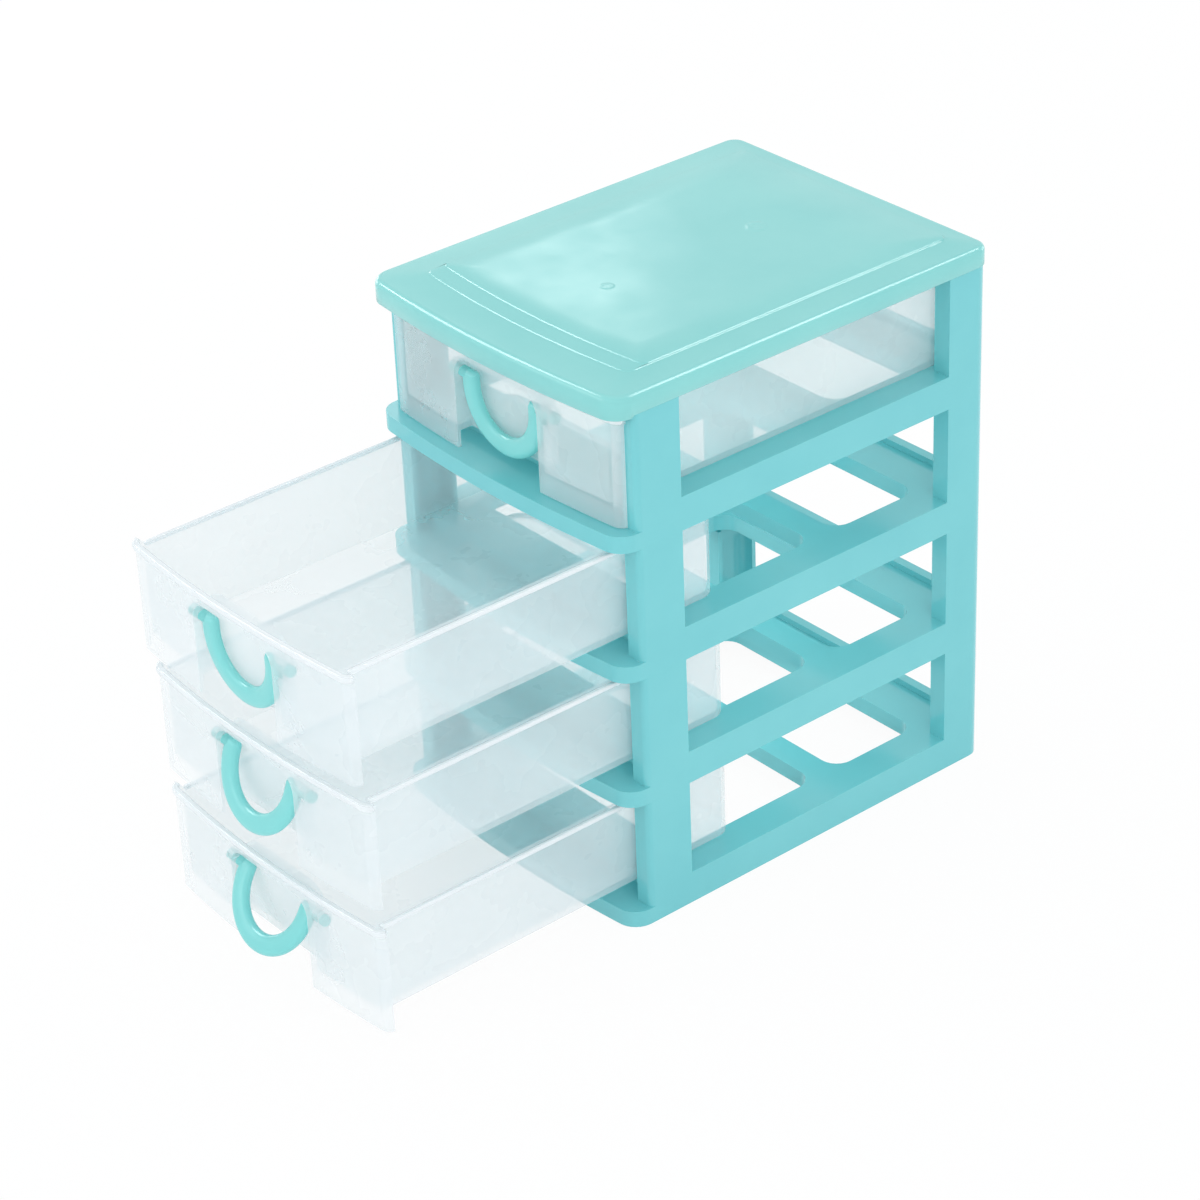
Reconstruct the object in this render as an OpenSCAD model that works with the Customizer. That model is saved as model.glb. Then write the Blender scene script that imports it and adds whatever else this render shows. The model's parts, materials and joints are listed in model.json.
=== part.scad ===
// Desktop mini drawers: four stacked drawer frames under a bowed lid,
// each frame with one sliding drawer and one swinging pull handle.
// Millimetres. X is the width, Y runs from the front to the back, Z is up.
// Each piece is drawn in the tower's own place: the posts' front line lies
// near y = 0 and the lowest frame stands on z = 0. shift_y then moves
// everything so that the origin is under the middle of the whole object.

/* [Tower] */
// Width of a frame over its side walls
body_w = 144; // [100:1:220]
// Depth from the front line of the posts to the back
body_d = 180; // [150:1:240]
// Height from one frame to the next
pitch = 55; // [45:1:80]
// Height of the tray that carries a drawer
tray_h = 14; // [12:1:20]
// Height of the ledge that runs along the front
ledge_h = 7; // [5:0.5:9]
// How far the middle of the ledge bows out in front
bow_reach = 10.5; // [8:0.5:16]
// Radius of the bowed front line
bow_r = 600; // [400:10:1200]
// Radius of the front corners
front_corner = 9; // [6:0.5:12]
// Radius of the back corners
back_corner = 6; // [4:0.5:10]
// Wall thickness of the frames
wall = 2; // [1.6:0.1:3]
// Width of a post across the front
post_w = 8; // [7:0.1:10]
// Depth of a front post, from the front line to the side window
post_d = 21; // [15:0.5:30]
// Depth of a back post
back_post_d = 21; // [15:0.5:30]
// Where the posts' front faces stand, and the radius of their outer corners
post_y = 2; // [1:0.1:3]
post_corner = 2.5; // [2.2:0.1:4]
// How far the step in the floor stands behind the posts' faces
step_set = 7; // [5:0.5:10]

/* [Floor] */
// Thickness of the floor plate
floor_t = 2; // [1.6:0.1:3]
// Width of the rails left and right of the openings, with the side wall
rail_w = 15; // [12:0.5:25]
// Depth of the floor in front of the openings
front_floor = 28; // [24:1:40]
// Depth of the floor behind the openings
back_floor = 23; // [18:1:35]
// Front edge and depth of the bar across the middle
bar_y0 = 101; // [80:1:110]
bar_w = 12; // [6:1:20]
// Corner radius of the openings
open_r = 8; // [4:1:12]
// Depth and thickness of the lips that hang around the openings
hang = 5; // [3:0.5:8]
lip_t = 1.6; // [1.2:0.1:2]

/* [Lid] */
// Height of the lid's side
lid_h = 8.5; // [6:0.5:12]
// How far the lid stands out past the frames
lid_proud = 0.5; // [0:0.1:1]
// How much lower the lid's front hangs
lid_drop = 1; // [0:0.1:1.5]
// Height, width, thickness and side play of the tongues on the posts
tongue_h = 3; // [2:0.5:5]
tongue_w = 12; // [6:1:14]
tongue_t = 1.5; // [1:0.1:2]
tongue_gap = 0.2; // [0.1:0.05:0.5]
// Height of the raised field on top
field_h = 0.8; // [0.4:0.1:1.5]
// Width of the margin left and right of the raised field
field_side = 13.5; // [8:0.5:25]
// Width of the margin in front of the field and behind it
field_front = 17.8; // [14:0.1:30]
field_back = 8.5; // [6:0.5:20]
// Radius of the field's bowed front edge
field_bow = 460; // [300:10:1200]
// Depth of the lower step along the field's front
field_step = 8; // [3:0.5:14]

/* [Drawer] */
// Wall thickness of the drawer
skin = 1.5; // [1.2:0.1:2]
// Play between the drawer's tray and the posts beside it
side_play = 0.8; // [0.4:0.1:1.5]
// Play between the front panel's ends and the posts behind them
post_play = 0.5; // [0.3:0.1:1]
// How far the panel's ends stand in from the frame's sides
panel_in = 4.8; // [3:0.1:6]
// Radius of the panel's corners
panel_corner = 5; // [3:0.5:8]
// Play between the panel and the ledge under it
ledge_play = 0.5; // [0.3:0.1:1]
// Play between the drawer and the floor it slides on
floor_play = 0.3; // [0.3:0.1:0.6]
// Play between the drawer and the stop along the back
back_play = 1; // [0.5:0.1:3]
// How far the panel's middle stands behind the ledge's edge
panel_set = 5.5; // [4:0.1:8]
// How far the rim lies under the next frame
rim_gap = 2.5; // [2:0.5:10]
// How far the panel's top lip stands out, and its height
lip_out = 0.8; // [0.4:0.1:1.5]
lip_h = 2.4; // [1.5:0.1:4]
// How far the flange along the rim stands out at the sides and at the back
flange_side = 2; // [1:0.1:2.2]
flange_back = 1.6; // [1:0.1:3]
// Radius of the drawer's back corners
tub_corner = 8; // [5:0.5:12]

/* [Handle] */
// Half width of the arched recess
arch_hw = 24.2; // [16:0.1:26]
// How far the recess stays under the rim
arch_below = 5.5; // [4:0.5:8]
// Corner radius at the top of the recess
arch_r = 8.5; // [6:0.5:12]
// Play around the handle: at its sides and behind it
arch_play = 0.8; // [0.4:0.1:2]
back_gap = 0.4; // [0.3:0.1:1]
// Width of the handle's bar
bail_b = 8.2; // [5:0.1:10]
// Thickness of the handle's bar
bail_t = 4.4; // [3.6:0.1:5]
// Straight length of each leg under its pin
bail_leg = 3; // [1:0.5:4]
// Pin radius, and the play around it in the recess wall
pin_r = 2.2; // [1.5:0.1:2.4]
pin_play = 0.08; // [0.02:0.01:0.10]
// How far the pins lie under the top of the recess, and their place in depth
pin_drop = 8.5; // [6:0.5:12]
pin_y = -0.1; // [-0.2:0.1:0.5]
// Wall of the boss around a pin, its length, and the pin's length past the wall
boss_wall = 1.8; // [1:0.1:2.5]
boss_l = 3; // [2:0.5:5]
pin_out = 5.3; // [4:0.1:8]

/* [Pose] */
// How far each drawer stands open, from the top down
pull_1 = 0; // [0:1:145]
pull_2 = 124; // [0:1:145]
pull_3 = 120; // [0:1:145]
pull_4 = 119; // [0:1:145]
// How far each handle is swung out, in degrees
swing_1 = 0; // [0:1:90]
swing_2 = 0; // [0:1:90]
swing_3 = 20; // [0:1:90]
swing_4 = 30; // [0:1:90]

/* [Hidden] */
$fn = 64;
hw = body_w / 2;
post_in = hw - post_w;
step_y = post_y + step_set;
stop_t = 4;
stop_h = 2.5;
window_y0 = post_y + post_d;
window_y1 = body_d - back_post_d;
open_hw = hw - rail_w;
open_y1 = body_d - back_floor;
bar_y1 = bar_y0 + bar_w;
lid_z = 4 * pitch;
field_hw = hw - field_side;
field_y = field_front - bow_reach;
field_y1 = body_d - field_back;
panel_hw = hw - panel_in;
panel_y = panel_set - bow_reach;
panel_r = bow_r - panel_set;
panel_z0 = ledge_h + ledge_play;
rim_z = pitch - rim_gap;
return_y = post_y - post_play;
flange_hw = post_in - side_play;
tub_hw = flange_hw - flange_side;
tub_z0 = tray_h + floor_play;
tub_y1 = body_d - stop_t - back_play - flange_back;
arch_top = rim_z - arch_below;
arch_y = pin_y + bail_t / 2 + back_gap;
shell_front = sqrt(pow(panel_r, 2) - pow(arch_hw + skin, 2)) - panel_r - panel_y - 0.85;
bail_hw = arch_hw - arch_play;
pin_z = arch_top - pin_drop;
pin_end = arch_hw + skin + pin_out;
aqua = [0.56, 0.86, 0.84];
aqua_lid = [0.60, 0.89, 0.86];
frost = [0.93, 0.95, 0.96, 0.55];
aqua_bail = [0.50, 0.84, 0.81];

// foremost point of a handle, of a panel's lip, and of everything
function bail_reach(pull, a) = pull - pin_y + (bail_leg + bail_hw) * sin(a) + bail_t / 2 * cos(a);
function panel_reach(pull) = pull - panel_y + lip_out;
reach = max(bail_reach(pull_1, swing_1), bail_reach(pull_2, swing_2), bail_reach(pull_3, swing_3),
            bail_reach(pull_4, swing_4), panel_reach(max(pull_1, pull_2, pull_3, pull_4)),
            bow_reach + lid_proud);
shift_y = (reach - body_d - lid_proud) / 2;

// Points of an arc, from angle a0 to a1 in n steps.
function arc(cx, cy, r, a0, a1, n) =
    [for (i = [0:n]) let (a = a0 + (a1 - a0) * i / n) [cx + r * cos(a), cy + r * sin(a)]];

// Plan with a bowed front: half width h, front middle yf, bow radius rb,
// front corner rc, back line yb, back corner rr.
function bowed(h, yf, rb, rc, yb, rr) =
    let (yc = yf + rb)
    let (cx = h - rc)
    let (cy = yc - sqrt(pow(rb - rc, 2) - pow(cx, 2)))
    let (t = asin(cx / (rb - rc)))
    concat(arc(0, yc, rb, -90 - t, -90 + t, 12),
           arc(cx, cy, rc, -90 + t + 9, 0, 7),
           arc(h - rr, yb - rr, rr, 0, 90, 6),
           arc(rr - h, yb - rr, rr, 90, 180, 6),
           arc(-cx, cy, rc, 180, 270 - t - 9, 7));

// Plan of a frame, drawn i inside its outer face.
function plan(i) = bowed(hw - i, -bow_reach + i, bow_r - i, front_corner - i,
                         body_d - i, back_corner - i);

// Plan of a drawer's panel carried back to the drawer's rear, drawn i inside.
function panel_plan(i) = bowed(panel_hw - i, panel_y + i, panel_r - i,
                               panel_corner - i, body_d, 2);

// Rectangle with rounded corners.
function rounded(x, y0, y1, r) =
    concat(arc(x - r, y0 + r, r, -90, 0, 6), arc(x - r, y1 - r, r, 0, 90, 6),
           arc(r - x, y1 - r, r, 90, 180, 6), arc(r - x, y0 + r, r, 180, 270, 6));

// Outline of the arched recess in x and z, grown by g, open at the bottom zb.
function arch(g, zb) =
    concat([[-arch_hw - g, zb], [arch_hw + g, zb]],
           arc(arch_hw - arch_r, arch_top - arch_r, arch_r + g, 0, 90, 8),
           arc(arch_r - arch_hw, arch_top - arch_r, arch_r + g, 90, 180, 8));

module slab(pts, z0, z1) {
    translate([0, 0, z0]) linear_extrude(z1 - z0) polygon(pts);
}

module both_sides() {
    children();
    mirror([1, 0, 0]) children();
}

// Front post: a channel with a rounded outer corner, open to the inside.
module front_post() {
    slab(concat([[post_in, post_y]],
                arc(hw - post_corner, post_y + post_corner, post_corner, -90, 0, 6),
                [[hw, window_y0], [post_in, window_y0], [post_in, window_y0 - wall],
                 [hw - wall, window_y0 - wall]],
                arc(hw - post_corner, post_y + post_corner, post_corner - wall, 0, -90, 6),
                [[post_in, post_y + wall]]), ledge_h - wall, pitch);
}

module back_post() {
    slab(concat([[post_in, window_y1], [hw, window_y1]],
                arc(hw - back_corner, body_d - back_corner, back_corner, 0, 90, 6),
                [[post_in, body_d], [post_in, body_d - wall]],
                arc(hw - back_corner, body_d - back_corner, back_corner - wall, 90, 0, 6),
                [[hw - wall, window_y1 + wall], [post_in, window_y1 + wall]]),
         tray_h - floor_t, pitch);
}

// Low tongue on a post that keeps the next frame in line.
module tongue(y0) {
    translate([hw - wall - tongue_gap - tongue_t, y0, pitch - 8]) {
        cube([tongue_t, tongue_w, 8 + tongue_h]);
        cube([tongue_t + tongue_gap + 0.2, tongue_w, 8]);
    }
}

// Window in the floor with a lip hanging around it.
module hung_lip(y0, y1) {
    slab(rounded(open_hw + lip_t, y0 - lip_t, y1 + lip_t, open_r + lip_t),
         tray_h - floor_t - hang, tray_h - floor_t / 2);
}

module frame(tier) {
    color(aqua) translate([0, shift_y, tier * pitch]) {
        difference() {
            union() {
                difference() {
                    slab(plan(0), 0, tray_h);
                    slab(plan(wall), -1, tray_h + 1);
                }
                slab(plan(1), tray_h - floor_t, tray_h);
                hung_lip(front_floor, bar_y0);
                hung_lip(bar_y1, open_y1);
            }
            slab(rounded(open_hw, front_floor, bar_y0, open_r), -1, tray_h + 1);
            slab(rounded(open_hw, bar_y1, open_y1, open_r), -1, tray_h + 1);
            translate([-post_in, -20, ledge_h]) cube([2 * post_in, 20 + step_y, 20]);
            translate([-body_w, -20, ledge_h]) cube([2 * body_w, 20 + post_y + post_corner, 20]);
        }
        // ledge in front, and the riser from it to the floor
        difference() {
            slab(plan(1), ledge_h - wall, ledge_h);
            translate([-body_w, step_y + wall, 0]) cube([2 * body_w, body_d, 20]);
        }
        translate([-post_in - 1, step_y, ledge_h - wall])
            cube([2 * post_in + 2, wall, tray_h - ledge_h + wall]);
        both_sides() {
            front_post();
            back_post();
            tongue(post_y + 4.5);
            tongue(body_d - 5 - tongue_w);
            translate([post_in, post_y + 1, ledge_h - wall])
                cube([1.6, step_y - post_y, tray_h - ledge_h + wall]);
        }
        // low stop along the back of the floor
        translate([-post_in - 1, body_d - stop_t, tray_h - 1])
            cube([2 * post_in + 2, stop_t, stop_h + 1]);
    }
}

module frame_4() frame(0);
module frame_3() frame(1);
module frame_2() frame(2);
module frame_1() frame(3);

// Plan of the lid, drawn i inside its outer face.
function lid_plan(i) = bowed(hw + lid_proud - i, -bow_reach - lid_proud + i, bow_r + lid_proud - i,
                             front_corner + lid_proud - i, body_d + lid_proud - i,
                             back_corner + lid_proud - i);

module lid() {
    color(aqua_lid) translate([0, shift_y, lid_z]) {
        difference() {
            slab(lid_plan(0), -lid_drop, lid_h);
            slab(lid_plan(wall + lid_proud), -lid_drop - 1, lid_h - wall);
            translate([-body_w, post_y - 0.5, -lid_drop - 1])
                cube([2 * body_w, 2 * body_d, lid_drop + 1]);
        }
        // raised field with a bowed front edge, a lower step along its front
        slab(bowed(field_hw, field_y, field_bow, 3, field_y1, 3), lid_h - 0.5, lid_h + field_h / 2);
        intersection() {
            slab(bowed(field_hw, field_y, field_bow, 3, field_y1, 3), lid_h - 0.5, lid_h + field_h);
            slab(bowed(field_hw + 20, field_y + field_step, field_bow, 1, body_d, 1), 0, lid_h + 5);
        }
    }
}

// One drawer, drawn closed and moved forward by its pull.
module drawer(tier, pull) {
    color(frost) translate([0, shift_y - pull, tier * pitch]) {
        difference() {
            union() {
                // tray part
                difference() {
                    slab_in_panel(tub_hw, tub_y1, tub_corner, 0, tub_z0, rim_z);
                    slab_in_panel(tub_hw - skin, tub_y1 - skin, tub_corner - skin, skin,
                                  tub_z0 + skin, rim_z + 1);
                }
                // curved front, wider than the tray, in front of the posts
                difference() {
                    slab(panel_plan(0), panel_z0, rim_z);
                    slab(panel_plan(skin), panel_z0 - 1, rim_z + 1);
                    translate([-body_w, return_y, 0]) cube([2 * body_w, 2 * body_d, pitch]);
                }
                // lip along its top, closed over the ends beside the tray
                difference() {
                    slab(panel_plan(-lip_out), rim_z - lip_h, rim_z);
                    slab_in_panel(tub_hw - skin, tub_y1, tub_corner, skin, rim_z - lip_h - 1, rim_z + 1);
                    translate([-body_w, return_y, 0]) cube([2 * body_w, 2 * body_d, pitch]);
                }
                // flange along the sides and the back
                difference() {
                    slab(rounded(flange_hw, 3, tub_y1 + flange_back, tub_corner + 1),
                         rim_z - skin, rim_z);
                    slab(rounded(tub_hw - skin, -30, tub_y1 - skin, tub_corner - skin),
                         rim_z - 3, rim_z + 1);
                    translate([-body_w, -30, 0]) cube([2 * body_w, 30 + return_y - skin, pitch]);
                }
                // shell of the arched recess, and the bosses around the pins
                translate([0, arch_y + skin, 0]) rotate([90, 0, 0])
                    linear_extrude(arch_y + skin + shell_front) polygon(arch(skin, tub_z0));
                both_sides() translate([arch_hw + skin - 0.5, pin_y, pin_z])
                    rotate([0, 90, 0]) cylinder(r = pin_r + boss_wall, h = boss_l + 0.5);
            }
            translate([0, arch_y, 0]) rotate([90, 0, 0])
                linear_extrude(40) polygon(arch(0, -10));
            both_sides() translate([arch_hw - 2, pin_y, pin_z])
                rotate([0, 90, 0]) cylinder(r = pin_r + pin_play, h = skin + boss_l + 3);
        }
    }
}

// Block between two heights, kept inside the panel's curved front.
module slab_in_panel(x, y1, r, i, z0, z1) {
    translate([0, 0, z0]) linear_extrude(z1 - z0) intersection() {
        polygon(panel_plan(i));
        polygon(rounded(x, -4 * bow_reach, y1, r));
    }
}

module drawer_1() drawer(3, pull_1);
module drawer_2() drawer(2, pull_2);
module drawer_3() drawer(1, pull_3);
module drawer_4() drawer(0, pull_4);

// Pull handle: a flat U on two pins, swung out by a.
module handle(tier, pull, a) {
    color(aqua_bail) translate([0, shift_y - pull + pin_y, tier * pitch + pin_z])
        rotate([-a, 0, 0]) {
            translate([0, bail_t / 2, -bail_leg]) rotate([90, 0, 0]) linear_extrude(bail_t)
                difference() {
                    circle(r = bail_hw);
                    circle(r = bail_hw - bail_b);
                    translate([-bail_hw, 0]) square([2 * bail_hw, bail_hw]);
                }
            both_sides() {
                translate([bail_hw - bail_b, -bail_t / 2, -bail_leg - 0.5])
                    cube([bail_b, bail_t, bail_leg + 0.5]);
                translate([bail_hw - bail_b, 0, 0]) rotate([0, 90, 0])
                    cylinder(r = bail_t / 2, h = bail_b);
                translate([bail_hw - 1, 0, 0]) rotate([0, 90, 0])
                    cylinder(r = pin_r, h = pin_end - bail_hw + 1);
            }
        }
}

module handle_1() handle(3, pull_1, swing_1);
module handle_2() handle(2, pull_2, swing_2);
module handle_3() handle(1, pull_3, swing_3);
module handle_4() handle(0, pull_4, swing_4);

frame_1();
frame_2();
frame_3();
frame_4();
lid();
drawer_1();
drawer_2();
drawer_3();
drawer_4();
handle_1();
handle_2();
handle_3();
handle_4();
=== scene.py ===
# %% [markdown]
# # Desktop mini drawers
# A tower of four small moulded frames under a lid. Each frame holds a frosted drawer with a
# swinging pull handle. The solids come packed from the CAD step, in metres, and this script
# dresses them: it rounds the moulded edges, remakes the lid and the handles as smooth surfaces
# and gives every piece its plastic. The first cell loads the solids and lists their names.

# %% Load the frame
import json
import math
import bmesh
import bpy
import numpy as np
from mathutils import Matrix, Vector


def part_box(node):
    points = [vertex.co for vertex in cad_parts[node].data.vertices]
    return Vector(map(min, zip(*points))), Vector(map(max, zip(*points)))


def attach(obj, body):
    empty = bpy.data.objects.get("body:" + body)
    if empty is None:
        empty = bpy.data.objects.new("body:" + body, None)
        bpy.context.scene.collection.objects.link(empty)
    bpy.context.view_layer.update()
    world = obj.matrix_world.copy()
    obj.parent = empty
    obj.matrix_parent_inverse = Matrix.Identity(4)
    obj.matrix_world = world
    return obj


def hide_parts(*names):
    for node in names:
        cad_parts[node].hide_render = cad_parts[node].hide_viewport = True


MM = 0.001
TIERS = (1, 2, 3, 4)  # from the top down
PITCH = 55.0  # mm from one tier to the next

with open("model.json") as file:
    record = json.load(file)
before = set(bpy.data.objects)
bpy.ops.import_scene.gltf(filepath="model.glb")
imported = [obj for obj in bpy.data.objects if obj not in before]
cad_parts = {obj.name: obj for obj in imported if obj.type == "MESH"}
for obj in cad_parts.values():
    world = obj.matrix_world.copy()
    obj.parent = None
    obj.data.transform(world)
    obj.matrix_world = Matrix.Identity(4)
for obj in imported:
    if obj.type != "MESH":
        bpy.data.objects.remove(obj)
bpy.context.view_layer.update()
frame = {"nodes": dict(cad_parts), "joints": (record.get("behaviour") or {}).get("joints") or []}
nodes = frame["nodes"]
print("solids:", sorted(nodes))

# %% [markdown]
# ## The tower's own front line
# The part stands with its origin under the middle of its box, which the open drawers push
# forward. Its shapes are easier to describe from the front line of the posts, so this cell
# finds where that line lies: the lid's back stands a known depth behind it.

# %% Front line
BODY_DEPTH = 180.0
LID_PROUD = 0.5
front_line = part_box("lid")[1].y / MM - BODY_DEPTH - LID_PROUD
print("front line at y =", round(front_line, 3), "mm")


def placed(x, y, z):
    """A point in metres from millimetres measured from the front line."""
    return Vector((x, y + front_line, z)) * MM


def tier_base(tier):
    """Height in mm at which a tier's frame stands."""
    return (TIERS[-1] - tier) * PITCH


# %% [markdown]
# ## Camera
# The photo is a close telephoto view from the front right and above. Its camera was found by
# fitting some sixty corners and edges of the tower, with the optical axis kept in the middle of
# the frame. The numbers are the focal length in pixels of the 1200 pixel frame, the camera's
# place, the point it looks at, and a small roll.

# %% Camera
FRAME_PX = 1200
focal_px = 3620.2
camera_place = placed(944.2, -721.4, 814.3)
camera_target = placed(-4.2, 44.6, 94.2)
camera_roll = math.radians(-2.43)

camera_data = bpy.data.cameras.new("camera")
camera_data.sensor_width = 36.0
camera_data.lens = focal_px / FRAME_PX * camera_data.sensor_width
camera_data.clip_start, camera_data.clip_end = 0.05, 20.0
camera = bpy.data.objects.new("camera", camera_data)
bpy.context.scene.collection.objects.link(camera)
gaze = (camera_target - camera_place).to_track_quat("-Z", "Y").to_matrix().to_4x4()
camera.matrix_world = Matrix.Translation(camera_place) @ gaze @ Matrix.Rotation(camera_roll, 4, "Z")
bpy.context.scene.camera = camera
camera_distance = (camera_target - camera_place).length
print("lens", round(camera_data.lens, 1), "mm, distance", round(camera_distance, 3), "m")

# %% [markdown]
# ## Grids of points
# Every new surface here is a grid: one parameter runs around or along the piece, the other
# across it. The grid is worked out as whole arrays, and one helper turns it into faces. A
# grid that closes on itself wraps its last column to its first. Rows that shrink to a point
# or a line are merged afterwards, so that the surface is closed, and its faces are then
# turned outwards.

# %% Grid helpers
GRID_MERGE = 2e-6  # metres
SAME_PLACE = 1e-6  # metres


def grid_faces(rows, columns):
    """Faces of a grid whose columns wrap around: corner indices of each four-sided cell."""
    row, column = np.meshgrid(np.arange(rows - 1), np.arange(columns), indexing="ij")
    after = (column + 1) % columns
    corners = [row * columns + column, row * columns + after,
               (row + 1) * columns + after, (row + 1) * columns + column]
    return np.stack(corners, axis=-1).reshape(-1, 4)


def surface_piece(name, grids):
    """One mesh object from several wrapped grids of points in mm, each (rows, columns, 3)."""
    points, faces, used = [], [], 0
    for grid in grids:
        rows, columns = grid.shape[:2]
        points.append(grid.reshape(-1, 3))
        faces.append(grid_faces(rows, columns) + used)
        used += rows * columns
    mesh = bpy.data.meshes.new(name)
    mesh.from_pydata((np.vstack(points) * MM).tolist(), [], np.vstack(faces).tolist())
    cleaner = bmesh.new()
    cleaner.from_mesh(mesh)
    bmesh.ops.remove_doubles(cleaner, verts=cleaner.verts, dist=GRID_MERGE)
    bmesh.ops.dissolve_degenerate(cleaner, edges=cleaner.edges, dist=SAME_PLACE)
    bmesh.ops.recalc_face_normals(cleaner, faces=cleaner.faces)
    cleaner.to_mesh(mesh)
    cleaner.free()
    mesh.shade_smooth()
    piece = bpy.data.objects.new(name, mesh)
    bpy.context.scene.collection.objects.link(piece)
    return piece


def arc(centre, radius, start, end, count):
    """count points on an arc: centre + radius (cos a, sin a), with a from start to end degrees."""
    angle = np.radians(np.linspace(start, end, count))
    return np.stack([centre[0] + radius * np.cos(angle),
                     centre[1] + radius * np.sin(angle)], axis=-1)


print("a 3 by 4 wrapped grid has", len(grid_faces(3, 4)), "faces")

# %% [markdown]
# ## Softened copies of the moulded solids
# Injection moulding leaves no knife edges: every edge has a small radius that catches the
# light. A frame or a drawer has hundreds of edges, so rounding them by hand makes no sense.
# Instead each solid is copied, its loose triangles are merged and flat neighbours joined, and
# a Bevel rounds every edge that turns by more than a given angle. Weighted normals then let
# the big flat faces stay flat in the shading. On a drawer the rounded strips get a plastic of
# their own: clear plastic looks paler and denser along its edges, where it is thicker, and the
# strips are also a little greyer, which paints the dark shade line that runs along them.

# %% Softened copy
SHARP_TURN = math.radians(35)
FLAT_TURN = math.radians(0.4)


def softened(node_name, name, radius, edge_slot=-1):
    """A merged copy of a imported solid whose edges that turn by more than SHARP_TURN are
    rounded by radius in mm. The rounded strips take the material in edge_slot, or their
    neighbour's where it is -1."""
    mesh = nodes[node_name].data.copy()
    mesh.name = name
    cleaner = bmesh.new()
    cleaner.from_mesh(mesh)
    bmesh.ops.remove_doubles(cleaner, verts=cleaner.verts, dist=SAME_PLACE)
    bmesh.ops.dissolve_limit(cleaner, angle_limit=FLAT_TURN, verts=cleaner.verts,
                             edges=cleaner.edges)
    cleaner.to_mesh(mesh)
    cleaner.free()
    mesh.materials.clear()
    mesh.shade_smooth()
    piece = bpy.data.objects.new(name, mesh)
    bpy.context.scene.collection.objects.link(piece)
    bevel = piece.modifiers.new("moulded_edges", "BEVEL")
    bevel.width = radius * MM
    bevel.segments = 2
    bevel.limit_method = "ANGLE"
    bevel.angle_limit = SHARP_TURN
    bevel.use_clamp_overlap = True
    bevel.miter_outer = "MITER_ARC"
    bevel.material = edge_slot
    flat = piece.modifiers.new("flat_faces", "WEIGHTED_NORMAL")
    flat.keep_sharp = True
    flat.weight = 80
    return piece


# %% Frames and drawers
EDGE_FRAME = 0.9
EDGE_DRAWER = 0.45
frames, drawers = [], []
for tier in TIERS:
    shell = softened(f"frame_{tier}", f"frame_{tier}_shell", EDGE_FRAME)
    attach(shell, "tower")
    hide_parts(f"frame_{tier}")
    frames.append(shell)
    # a drawer's rounded strips take slot 1, its greyer edge plastic, which paints the shade line along
    # its edges
    tray = softened(f"drawer_{tier}", f"drawer_{tier}_tray", EDGE_DRAWER, edge_slot=1)
    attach(tray, f"drawer_{tier}")
    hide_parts(f"drawer_{tier}")
    drawers.append(tray)
    print("tier", tier, "frame faces", len(shell.data.polygons),
          "drawer faces", len(tray.data.polygons))

# %% [markdown]
# ## Rolled rims of the drawers
# A drawer's front ends in a rounded lip, and its sides and back in a small flange. On clear
# plastic these thick edges are what the eye sees first: they gather light and shine as pale
# lines. So each gets a roll: a soft oblong section carried along the edge as one closed tube,
# with rounded ends.

# %% Rolled rims
# The front panel's plan: half width, front middle, bow radius, corner radius. Its ends are cut
# off at PANEL_END, and its lip stands LIP_OUT in front of it.
PANEL_HALF, PANEL_FRONT, PANEL_BOW, PANEL_CORNER = 67.2, -5.0, 594.5, 5.0
PANEL_END = 1.5
LIP_OUT = 0.8
# The flange's plan: half width, back line, corner radius, and where its sides begin.
FLANGE_HALF, FLANGE_BACK, FLANGE_CORNER = 63.2, 175.0, 9.0
FLANGE_START = 2.6
RIM_Z = 52.5
# Each roll: how far inside the plan and under the rim it runs, its half width and half height.
LIP_ROLL = (0.35, 1.2, 1.35, 1.4)
FLANGE_ROLL = (0.75, 0.75, 0.95, 0.95)
ROLL_SHORT = 1.0


def lip_path(inset):
    """Line inset mm inside the front panel's plan: left corner, bow and right corner, from
    ROLL_SHORT before one cut end of the panel to as much before the other."""
    half, front = PANEL_HALF - inset, PANEL_FRONT + inset
    bow, corner = PANEL_BOW - inset, PANEL_CORNER - inset
    centre_x = half - corner
    centre_y = front + bow - math.sqrt((bow - corner) ** 2 - centre_x ** 2)
    lean = math.degrees(math.asin(centre_x / (bow - corner)))
    cut = math.degrees(math.asin(min(1.0, (PANEL_END - ROLL_SHORT - centre_y) / corner)))
    return np.vstack([arc((-centre_x, centre_y), corner, 180 - cut, 270 - lean, 12)[:-1],
                      arc((0, front + bow), bow, -90 - lean, -90 + lean, 61),
                      arc((centre_x, centre_y), corner, -90 + lean, cut, 12)[1:]])


def flange_path(inset):
    """Line inset mm inside the flange: up the left side, around the back and down the right side."""
    half, back, corner = FLANGE_HALF - inset, FLANGE_BACK - inset, FLANGE_CORNER - inset
    side = np.linspace(FLANGE_START, back - corner, 24)[:, None] * [0, 1]
    return np.vstack([side + [-half, 0],
                      arc((corner - half, back - corner), corner, 180, 90, 13)[1:],
                      arc((half - corner, back - corner), corner, 90, 0, 13),
                      (side + [half, 0])[::-1][1:]])


def oblong(turn):
    """A cosine or sine made fuller: sign(c) |c|^0.6, which turns a circle into a soft oblong."""
    return np.sign(turn) * np.abs(turn) ** 0.6


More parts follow.
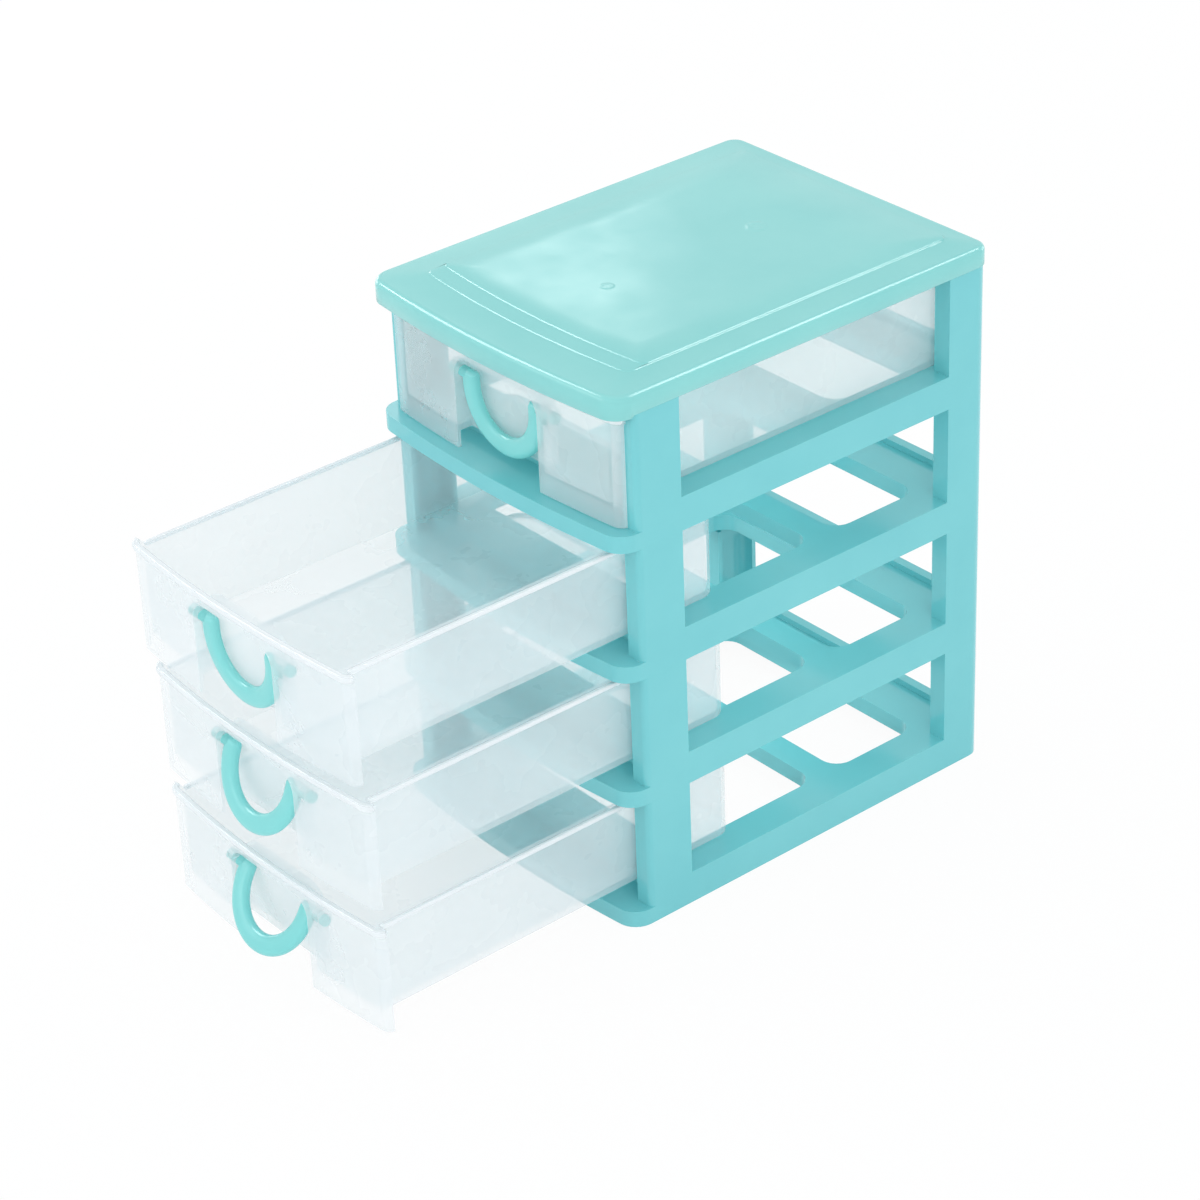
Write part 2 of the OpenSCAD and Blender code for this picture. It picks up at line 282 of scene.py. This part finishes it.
def roll(path, height, across, tall):
    """A tube along a flat path, with a soft oblong section and a round end at both ends:
    point + across oblong(cos s) (sideways) + tall oblong(sin s) (upwards)."""
    ahead = np.gradient(path, axis=0)
    ahead /= np.linalg.norm(ahead, axis=1, keepdims=True)
    sideways = np.column_stack([ahead[:, 1], -ahead[:, 0]])
    cap_rings = 6
    cap = np.radians(np.linspace(90, 15, cap_rings))
    middle = np.vstack([path[0] - ahead[0] * across * np.sin(cap)[:, None], path,
                        path[-1] + ahead[-1] * across * np.sin(cap[::-1])[:, None]])
    share = np.concatenate([np.cos(cap), np.ones(len(path)), np.cos(cap[::-1])])[:, None]
    sideways = np.vstack([np.repeat(sideways[:1], cap_rings, axis=0), sideways,
                          np.repeat(sideways[-1:], cap_rings, axis=0)])
    s = np.linspace(0, 2 * np.pi, 20, endpoint=False)
    side, upward = across * oblong(np.cos(s)), tall * oblong(np.sin(s))
    return np.stack([middle[:, :1] + share * sideways[:, :1] * side,
                     middle[:, 1:] + share * sideways[:, 1:] * side, height + share * upward], axis=-1)


rims = []
for tier in TIERS:
    pull = front_line + PANEL_FRONT - LIP_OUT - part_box(f"drawer_{tier}")[0].y / MM
    grids = [roll(path(inset), RIM_Z - under, across, tall)
             for path, (inset, under, across, tall) in ((lip_path, LIP_ROLL),
                                                        (flange_path, FLANGE_ROLL))]
    shift = [0, front_line - pull, tier_base(tier)]
    rim = surface_piece(f"drawer_{tier}_rim", [grid + shift for grid in grids])
    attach(rim, f"drawer_{tier}")
    rims.append(rim)
    print("drawer", tier, "pulled", round(pull, 1), "mm, rim faces", len(rim.data.polygons))

# %% [markdown]
# ## Lid
# The lid is one shallow tray turned upside down. Its outer edge is soft, its top carries a
# thin raised field with a bowed front, and the field has a lower step along that front. All
# its contours have the same form: a bowed front, two front corners, straight sides and two
# back corners. So a contour is six numbers, and the lid is a stack of contours whose numbers
# slide from one to the next.

# %% Lid contours
# half width, front middle, bow radius, front corner, back line, back corner
LID_PLAN = np.array([72.5, -11.0, 600.5, 9.5, 180.5, 6.5])
FIELD_PLAN = np.array([58.5, 7.3, 460.0, 4.0, 171.5, 4.0])
STEP_PLAN = np.array([58.1, 15.3, 470.0, 3.0, 171.1, 3.6])
# what moving a contour 1 mm inwards adds to each of its six numbers
INWARD = np.array([-1.0, 1.0, -1.0, -1.0, -1.0, -1.0])
MIN_CORNER = 0.4


def contour(plan):
    """Points around a contour. The bow is an arc of radius bow through the front middle. Each
    front corner is an arc that touches the bow and the side, so its centre lies bow minus
    corner from the bow's centre; the back corners are quarter circles."""
    half, front, bow, corner, back, back_corner = plan
    centre_x = half - corner
    centre_y = front + bow - math.sqrt((bow - corner) ** 2 - centre_x ** 2)
    lean = math.degrees(math.asin(centre_x / (bow - corner)))
    side = np.linspace(0, 1, 12)[1:-1, None]
    right_front, right_back = np.array([half, centre_y]), np.array([half, back - back_corner])
    mirror = np.array([-1, 1])
    return np.vstack([
        arc((0, front + bow), bow, -90 - lean, -90 + lean, 49),
        arc((centre_x, centre_y), corner, -90 + lean, 0, 13)[1:],
        right_front + side * (right_back - right_front),
        arc((half - back_corner, back - back_corner), back_corner, 0, 90, 11),
        arc((back_corner - half, back - back_corner), back_corner, 90, 180, 11),
        (right_back + side * (right_front - right_back)) * mirror,
        arc((-centre_x, centre_y), corner, 180, 270 - lean, 13)[:-1]])


def moved_in(plan, distance):
    """The same contour drawn distance mm inside, with its corners never under MIN_CORNER."""
    inner = plan + INWARD * distance
    inner[[3, 5]] = np.maximum(inner[[3, 5]], MIN_CORNER)
    return inner


print("points in a contour:", len(contour(LID_PLAN)))

# %% Lid surface
LID_Z = 220.0
LID_H = 8.5
LID_WALL = 2.0
LID_DROP = 1.0
DROP_END, DROP_EASE = 1.6, 1.0
INNER_ROUND = 0.6
LOWER_ROUND, OUTER_ROUND = 0.3, 0.35
EDGE_ROUND = 2.4
MARGIN_FALL = 0.15
FIELD_H = 0.4
FIELD_STEP, FRONT_STEP = 0.7, 0.6


def front_drop(points):
    """How far the lower edge hangs: LID_DROP in front, eased to 0 over DROP_EASE at DROP_END,
    where the posts begin. The ease is e e (3 - 2 e)."""
    ease = np.clip((DROP_END - points[:, 1]) / DROP_EASE, 0, 1)
    return LID_DROP * ease * ease * (3 - 2 * ease)


def level(plan, height):
    """A contour at one height above the lid's seat."""
    points = contour(plan)
    return np.column_stack([points, np.full(len(points), LID_Z + height)])


def lower_edge(plan, height):
    """A contour along the lower edge, which hangs a little lower in front."""
    ring = level(plan, height)
    ring[:, 2] -= front_drop(ring)
    return ring


def rounded_rings(plan, radius, top, turn):
    """Rings over a quarter round: inset r (1 - cos a), height top - r (1 - sin a)."""
    return [level(moved_in(plan, radius * (1 - math.cos(a))), top - radius * (1 - math.sin(a)))
            for a in turn]


def step_rings(plan, low, high, width):
    """Rings up a soft step: a smooth S, p p (3 - 2 p), over width mm, halfway at the contour."""
    parts = np.linspace(0, 1, 7)
    rise = parts * parts * (3 - 2 * parts)
    return [level(moved_in(plan, (p - 0.5) * width), low + (high - low) * r)
            for p, r in zip(parts, rise)]


def shrunk(ring, share):
    """A ring drawn towards its own middle."""
    middle = ring.mean(axis=0)
    return middle + (ring - middle) * np.array([share, share, 1.0])


inner_wall = moved_in(LID_PLAN, LID_WALL + LID_PROUD)
ceiling_h = LID_H - LID_WALL
ceiling = level(moved_in(inner_wall, INNER_ROUND), ceiling_h)
quarter = np.radians(np.linspace(0, 90, 9))
# from the ceiling's middle outwards, down the inner wall and under the lower edge
rings = [shrunk(ceiling, share) for share in (0.0, 0.35, 0.7)] + [ceiling]
rings += [level(inner_wall, ceiling_h - INNER_ROUND), lower_edge(inner_wall, LOWER_ROUND),
          lower_edge(moved_in(inner_wall, -LOWER_ROUND), 0.0),
          lower_edge(moved_in(LID_PLAN, OUTER_ROUND), 0.0), lower_edge(LID_PLAN, OUTER_ROUND)]
# up the side, over the edge, and up two steps to the middle of the field
rings += rounded_rings(LID_PLAN, EDGE_ROUND, LID_H - MARGIN_FALL, quarter)
rings += step_rings(FIELD_PLAN, LID_H, LID_H + FIELD_H, FIELD_STEP)
rings += step_rings(STEP_PLAN, LID_H + FIELD_H, LID_H + 2 * FIELD_H, FRONT_STEP)
rings += [shrunk(rings[-1], share) for share in (0.75, 0.5, 0.25, 0.0)]
lid_grid = np.stack(rings)
lid_grid[..., 1] += front_line
lid_shell = surface_piece("lid_shell", [lid_grid])
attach(lid_shell, "tower")
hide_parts("lid")
print("lid rings", len(rings), "faces", len(lid_shell.data.polygons))

# %% [markdown]
# ## Pull handles
# A handle is a flat U that hangs from two pins. Its bar is thicker along its middle than at
# its edges, which draws a soft ridge of light around the U. So it is a rounded section carried
# along a path: down one leg, around half a circle and up the other leg. The section's
# thickness runs out over the last two millimetres above the pins.

# %% Handle section and path
BAIL_HALF = 23.4
BAR_WIDE, BAR_THICK = 8.2, 4.4
LEG = 3.0
PIN_R, PIN_START, PIN_END = 2.2, 20.5, 31.0
END_NARROW = 0.25


def bar_section(count):
    """Section of the bar: w/2 sign(cos s) |cos s|^0.7 across, t/2 sign(sin s) |sin s|^0.9 through."""
    s = np.linspace(0, 2 * np.pi, count, endpoint=False)
    across = BAR_WIDE / 2 * np.sign(np.cos(s)) * np.abs(np.cos(s)) ** 0.7
    through = BAR_THICK / 2 * np.sign(np.sin(s)) * np.abs(np.sin(s)) ** 0.9
    return across, through


def bar_path():
    """Centre line of the U, its outward direction and the share of full thickness at each point."""
    end = np.radians(np.linspace(90, 8, 7))
    cap, rise = np.sin(end), BAR_THICK / 2 * np.cos(end)
    turn = np.radians(np.linspace(0, -180, 57))
    middle = BAIL_HALF - BAR_WIDE / 2
    leg_x = np.full(len(rise), middle)
    x = np.concatenate([leg_x, middle * np.cos(turn), -leg_x])
    z = np.concatenate([rise[::-1], -LEG + middle * np.sin(turn), rise])
    out_x = np.concatenate([np.ones(len(rise)), np.cos(turn), -np.ones(len(rise))])
    out_z = np.concatenate([np.zeros(len(rise)), np.sin(turn), np.zeros(len(rise))])
    share = np.concatenate([cap[::-1], np.ones(len(turn)), cap])
    return x, z, out_x, out_z, share


def handle_bar():
    """Grid of the bar: centre + across (outwards) + through (in depth), shrunk at its two ends."""
    across, through = bar_section(28)
    x, z, out_x, out_z, share = (a[:, None] for a in bar_path())
    narrow = 1 - END_NARROW * (1 - share)
    grid = np.stack([x + across * out_x * narrow, through * share + 0 * x,
                     z + across * out_z * narrow], axis=-1)
    ends = [grid[0].mean(axis=0, keepdims=True), grid[-1].mean(axis=0, keepdims=True)]
    return np.concatenate([np.repeat(ends[0], grid.shape[1], axis=0)[None], grid,
                           np.repeat(ends[1], grid.shape[1], axis=0)[None]])


def pin(side):
    """A turned pin along x: each profile point (x, radius) goes around as radius (cos s, sin s)."""
    profile = np.array([(PIN_START, 0), (PIN_START, PIN_R), (PIN_END - 0.5, PIN_R),
                        (PIN_END - 0.1, PIN_R - 0.35), (PIN_END, PIN_R - 0.8), (PIN_END, 0)])
    s = np.linspace(0, 2 * np.pi, 24, endpoint=False)
    along = np.repeat(profile[:, :1], len(s), axis=1) * side
    return np.stack([along, profile[:, 1:] * np.cos(s), profile[:, 1:] * np.sin(s)], axis=-1)


def swung(grid, angle, pivot):
    """The grid turned forward by angle about the pins' axis:
    y' = y cos a + z sin a, z' = z cos a - y sin a."""
    x, y, z = grid[..., 0], grid[..., 1], grid[..., 2]
    turned = np.stack([x, y * math.cos(angle) + z * math.sin(angle),
                       z * math.cos(angle) - y * math.sin(angle)], axis=-1)
    return turned + pivot


print("bar grid:", handle_bar().shape)

# %% Handles
hinges = {joint["child"]: joint for joint in frame["joints"] if joint["type"] == "hinge"}
pulls = []
for tier in TIERS:
    hinge = hinges[f"handle_{tier}"]
    pivot = np.array(hinge["pos_m"]) / MM
    angle = -math.radians(hinge["range_deg"][0])
    parts = [swung(part, angle, pivot) for part in (handle_bar(), pin(1), pin(-1))]
    pull = surface_piece(f"handle_{tier}_bail", parts)
    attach(pull, f"handle_{tier}")
    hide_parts(f"handle_{tier}")
    pulls.append(pull)
    print("handle", tier, "swung", round(math.degrees(angle)), "degrees,",
          len(pull.data.polygons), "faces")

# %% [markdown]
# ## Floor and light
# The tower stands on white before white, with hardly any shadow. For the camera the floor is
# mostly a plain white glow with a little ordinary white left in it, so that a faint shadow
# stays; for the light it is an ordinary white surface. The lamps are large and soft: one
# above, two from the front, and one each at the left and the back whose light comes in
# through the open sides. The right front one isn't mirrored, because seen from behind it would
# wash out the lid's far corner. Real clear plastic passes light on from wall to wall, which flat
# see-through surfaces can't do, so a very weak lamp under each tier's ceiling makes up for
# it. A small weak one stands just where the lid mirrors it for the camera, so that its image
# lies on the lid as a pale cloud. Two more are seen in gloss alone: they light nothing, but
# the rounded edges of the lid and the steps around its field mirror them as bright thin lines.

# %% Floor
def link_max(tree, first, second):
    """The larger of two values, as a socket."""
    larger = tree.nodes.new("ShaderNodeMath")
    larger.operation = "MAXIMUM"
    tree.links.new(first, larger.inputs[0])
    tree.links.new(second, larger.inputs[1])
    return larger.outputs[0]


def seen_white(tree, shader, share):
    """A share of plain white glow for rays from the camera, from gloss and through clear plastic,
    and the given shader for the rest."""
    path = tree.nodes.new("ShaderNodeLightPath")
    seen = link_max(tree, path.outputs["Is Camera Ray"], path.outputs["Is Glossy Ray"])
    seen = link_max(tree, seen, path.outputs["Is Transmission Ray"])
    part = tree.nodes.new("ShaderNodeMath")
    part.operation = "MULTIPLY"
    part.inputs[1].default_value = share
    tree.links.new(seen, part.inputs[0])
    white = tree.nodes.new("ShaderNodeEmission")
    mix = tree.nodes.new("ShaderNodeMixShader")
    tree.links.new(part.outputs[0], mix.inputs[0])
    tree.links.new(shader, mix.inputs[1])
    tree.links.new(white.outputs[0], mix.inputs[2])
    return mix.outputs[0]


world = bpy.data.worlds.new("studio")
bpy.context.scene.world = world
world.use_nodes = True
sky = world.node_tree
sky.nodes["Background"].inputs["Color"].default_value = (0.93, 0.97, 1.0, 1)
sky.nodes["Background"].inputs["Strength"].default_value = 0.84
sky.links.new(seen_white(sky, sky.nodes["Background"].outputs[0], 1.0),
              sky.nodes["World Output"].inputs["Surface"])

FLOOR_HALF = 3.0
floor_mesh = bpy.data.meshes.new("floor")
floor_mesh.from_pydata([(-FLOOR_HALF, -FLOOR_HALF, 0), (FLOOR_HALF, -FLOOR_HALF, 0),
                        (FLOOR_HALF, FLOOR_HALF, 0), (-FLOOR_HALF, FLOOR_HALF, 0)], [], [(0, 1, 2, 3)])
floor = bpy.data.objects.new("floor", floor_mesh)
bpy.context.scene.collection.objects.link(floor)
floor_white = bpy.data.materials.new("floor_white")
floor_white.use_nodes = True
floor_tree = floor_white.node_tree
floor_bsdf = floor_tree.nodes["Principled BSDF"]
floor_bsdf.inputs["Base Color"].default_value = (0.93, 0.93, 0.93, 1)
floor_bsdf.inputs["Roughness"].default_value = 0.9
floor_tree.links.new(seen_white(floor_tree, floor_bsdf.outputs[0], 0.95),
                     floor_tree.nodes["Material Output"].inputs["Surface"])
floor_mesh.materials.append(floor_white)
print("floor is", 2 * FLOOR_HALF, "m wide")


# %% Lights
def lamp(name, place, target, size, power, colour=(1, 1, 1)):
    """A soft area lamp at place that faces target, both in metres."""
    data = bpy.data.lights.new(name, "AREA")
    data.shape = "RECTANGLE"
    data.size, data.size_y = size
    data.energy = power
    data.color = colour
    light = bpy.data.objects.new(name, data)
    bpy.context.scene.collection.objects.link(light)
    light.location = place
    light.rotation_euler = (Vector(target) - Vector(place)).to_track_quat("-Z", "Y").to_euler()
    return light


TOWER, BAYS = (0, 0, 0.1), (0, 0.07, 0.12)
lamp("above", (-0.1, 0.1, 1.5), TOWER, (1.1, 1.1), 1.9)
lamp("front_left", (-0.7, -1.4, 0.7), TOWER, (1.0, 0.8), 3.9)
front_right = lamp("front_right", (1.3, -0.5, 0.5), TOWER, (0.9, 0.7), 3.2, (0.96, 0.98, 1.0))
front_right.visible_glossy = False
lamp("left", (-1.4, 0.1, 0.32), BAYS, (0.8, 0.5), 3.2)
lamp("back", (0.25, 1.5, 0.35), BAYS, (0.8, 0.5), 3.0)
lamp("cloud", placed(-1228, 932, 915), placed(-45, 40, 229), (0.26, 0.2), 0.33)

BAY_Y, BAY_CEILING = 85, 52
BAY_SIZE, BAY_POWER = (0.11, 0.15), 0.02
for tier in TIERS:
    base = tier_base(tier)
    fill = lamp(f"bay_{tier}", placed(0, BAY_Y, base + BAY_CEILING), placed(0, BAY_Y, base),
                BAY_SIZE, BAY_POWER)
    fill.visible_glossy = False

GLINT_POWER = 9.0
for name, place, size in (("glint_back", (0.42, 0.85, 1.3), (0.7, 0.5)),
                          ("glint_left", (-1.05, -0.5, 1.1), (0.5, 0.7))):
    lamp(name, place, TOWER, size, GLINT_POWER).visible_diffuse = False

# %% [markdown]
# ## Plastics
# The aqua plastic is glossy and a little uneven: its colour drifts over some centimetres and
# its gloss has cloudy patches. The lid's broad top is very slightly wavy too, so reflections
# on it look soft and cloudy. Each of these is a noise pattern of its own size, read from the
# object's coordinates in metres. The lid's aqua is lighter than the frames', partly as painted
# highlight for the light that its top and front margin catch. The frosted drawers use the same
# recipe with a milky colour that lets part of the light straight through, less of it along
# their edges and rims; their rounded edges are also a little greyer, as painted shade for the
# dark line along them.

# %% Plastic helpers
TONE_MM, GLOSS_MM, WAVE_MM = 45, 22, 38
PLASTIC_IOR = 1.49


def srgb(red, green, blue):
    """A colour as written, 0 to 255, made linear."""
    return tuple(((v / 255 + 0.055) / 1.055) ** 2.4 for v in (red, green, blue)) + (1.0,)


def noise(tree, size_mm, detail=3.0, rough=0.55):
    """A noise pattern whose blobs are about size_mm wide, on the object's coordinates."""
    place = tree.nodes.new("ShaderNodeTexCoord")
    pattern = tree.nodes.new("ShaderNodeTexNoise")
    pattern.inputs["Scale"].default_value = 1.0 / (size_mm * MM)
    pattern.inputs["Detail"].default_value = detail
    pattern.inputs["Roughness"].default_value = rough
    tree.links.new(place.outputs["Object"], pattern.inputs["Vector"])
    return pattern.outputs["Fac"]


def spread(tree, value, low, high):
    """value from 0.3 to 0.7 spread to low to high."""
    ranged = tree.nodes.new("ShaderNodeMapRange")
    ranged.inputs["From Min"].default_value = 0.3
    ranged.inputs["From Max"].default_value = 0.7
    ranged.inputs["To Min"].default_value = low
    ranged.inputs["To Max"].default_value = high
    tree.links.new(value, ranged.inputs["Value"])
    return ranged.outputs["Result"]


def bump(tree, height, depth_mm, before=None):
    """A bump of depth_mm from a height pattern, on top of an earlier bump."""
    node = tree.nodes.new("ShaderNodeBump")
    node.inputs["Strength"].default_value = 1.0
    node.inputs["Distance"].default_value = depth_mm * MM
    tree.links.new(height, node.inputs["Height"])
    if before is not None:
        tree.links.new(before, node.inputs["Normal"])
    return node.outputs["Normal"]


def moulded(name, light, deep, rough, wave_mm=0.0, alpha=1.0):
    """Moulded plastic between two close colours, with a roughness from rough[0] to rough[1] and
    waves wave_mm deep. Each of its surfaces hides the share alpha of what lies behind."""
    paint = bpy.data.materials.new(name)
    paint.use_nodes = True
    tree = paint.node_tree
    bsdf = tree.nodes["Principled BSDF"]
    tone = tree.nodes.new("ShaderNodeMix")
    tone.data_type = "RGBA"
    tone.inputs["A"].default_value = light
    tone.inputs["B"].default_value = deep
    tree.links.new(spread(tree, noise(tree, TONE_MM, 4), 0.0, 1.0), tone.inputs["Factor"])
    tree.links.new(tone.outputs["Result"], bsdf.inputs["Base Color"])
    tree.links.new(spread(tree, noise(tree, GLOSS_MM, 3, 0.5), *rough), bsdf.inputs["Roughness"])
    if wave_mm:
        waves = bump(tree, noise(tree, WAVE_MM, 1.5, 0.4), wave_mm)
        tree.links.new(waves, bsdf.inputs["Normal"])
    bsdf.inputs["IOR"].default_value = PLASTIC_IOR
    bsdf.inputs["Alpha"].default_value = alpha
    return paint


# %% Plastics
frame_aqua = moulded("frame_aqua", srgb(125, 209, 213), srgb(118, 204, 209), (0.12, 0.2))
# the lid's aqua is lighter than the frames' partly as painted highlight: its top and front margin
# catch the most light
lid_aqua = moulded("lid_aqua", srgb(143, 216, 212), srgb(135, 211, 208), (0.12, 0.24), 0.35)
pull_aqua = moulded("pull_aqua", srgb(136, 220, 217), srgb(130, 216, 214), (0.18, 0.28))
milky = moulded("milky_drawer", srgb(246, 250, 251), srgb(240, 246, 248), (0.22, 0.34), alpha=0.29)
# the drawers' rounded edges: denser where the plastic is thicker, and greyer as painted shade for the
# dark line along them
milky_edge = moulded("milky_edge", srgb(234, 243, 245), srgb(226, 238, 241), (0.12, 0.2), alpha=0.6)
milky_rim = moulded("milky_rim", srgb(249, 252, 253), srgb(243, 248, 250), (0.12, 0.2), alpha=0.85)

# the hidden solid that a piece stands for gets the same plastic
for paint, group in ((frame_aqua, frames), (lid_aqua, [lid_shell]), (pull_aqua, pulls),
                     (milky, drawers)):
    for piece in group:
        piece.data.materials.append(paint)
        node = nodes[piece.name.rsplit("_", 1)[0]]
        node.data.materials.clear()
        node.data.materials.append(paint)
    print(paint.name, "on", len(group), "pieces")
for tray, rim in zip(drawers, rims):
    tray.data.materials.append(milky_edge)
    rim.data.materials.append(milky_rim)

# %% [markdown]
# ## Gate marks
# Where the molten plastic entered the mould, the lid keeps two small rough discs on its
# middle line. They are too shallow to be modelled: a mask that is 1 near a point lets a fine
# ripple through there, on top of the lid's own waves.

# %% Gate marks
def mark(tree, place, radius_mm):
    """1 inside a round mark at place in metres, easing to 0 at its rim."""
    here = tree.nodes.new("ShaderNodeTexCoord")
    away = tree.nodes.new("ShaderNodeVectorMath")
    away.operation = "DISTANCE"
    away.inputs[1].default_value = place
    tree.links.new(here.outputs["Object"], away.inputs[0])
    ease = tree.nodes.new("ShaderNodeMapRange")
    ease.interpolation_type = "SMOOTHSTEP"
    ease.inputs["From Min"].default_value = radius_mm * MM
    ease.inputs["From Max"].default_value = 0.6 * radius_mm * MM
    tree.links.new(away.outputs["Value"], ease.inputs["Value"])
    return ease.outputs["Result"]


GATES = ((51, 3.2), (126, 5.2))  # distance behind the front line, radius
RIPPLE_MM, RIPPLE_DEEP = 2.6, 0.2
field_top = LID_Z + LID_H + 2 * FIELD_H
lid_tree = lid_aqua.node_tree
lid_normal = lid_tree.nodes["Principled BSDF"].inputs["Normal"]
for gate_y, gate_r in GATES:
    ripple = lid_tree.nodes.new("ShaderNodeMath")
    ripple.operation = "MULTIPLY"
    lid_tree.links.new(mark(lid_tree, placed(0, gate_y, field_top), gate_r), ripple.inputs[0])
    lid_tree.links.new(noise(lid_tree, RIPPLE_MM, 2), ripple.inputs[1])
    before = lid_normal.links[0].from_socket
    lid_tree.links.new(bump(lid_tree, ripple.outputs[0], RIPPLE_DEEP, before), lid_normal)
print("gate marks:", len(GATES))

# %% [markdown]
# ## Finish
# A look through a closed drawer passes more see-through surfaces than the renderer follows by
# default, and what lies past its limit turns grey. The limit is raised, and so is the number
# of times that light may bounce about inside the tower.

# %% Finish
bpy.context.scene.view_settings.view_transform = "Standard"
bpy.context.scene.cycles.transparent_max_bounces = 48
bpy.context.scene.cycles.diffuse_bounces = 8
